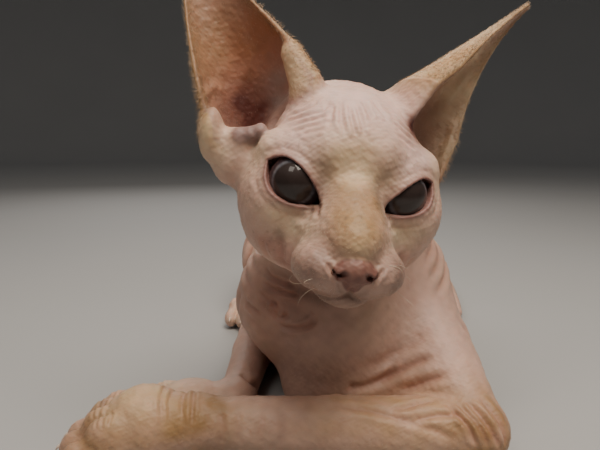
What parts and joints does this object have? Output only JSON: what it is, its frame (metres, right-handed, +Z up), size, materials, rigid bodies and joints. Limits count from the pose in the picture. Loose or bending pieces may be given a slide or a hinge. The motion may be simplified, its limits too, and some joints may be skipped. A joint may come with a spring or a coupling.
{
  "type": "sphynx cat",
  "caption": "Life-size young sphynx cat lying on its chest with its head raised and turned slightly, large ears up and one foreleg laid across in front of it.",
  "frame": {"origin": "on the floor, on the flat under the breast that the cat lies on", "axes": "+Z up, -Y the way the cat lies and looks, +X its left side"},
  "size_m": [0.2291, 0.3865, 0.2167],
  "materials": {
    "skin": "satin, bare wrinkled skin with a little down",
    "ear_skin": "matte, thin skin with fine down outside",
    "eye": "wet gloss"
  },
  "bodies": {
    "root": {"head": "skin", "neck": "skin", "chest": "skin", "belly": "skin", "rump": "skin", "ear_right": "ear_skin", "eye_right": "eye", "ear_left": "ear_skin", "eye_left": "eye", "foreleg_left": "skin", "forepaw_left": "skin", "foreleg_right": "skin", "forepaw_right": "skin", "thigh_left": "skin", "hindfoot_left": "skin", "thigh_right": "skin", "hindfoot_right": "skin", "tail_base": "skin", "tail_middle": "skin", "tail_tip": "skin"}
  },
  "joints": []
}
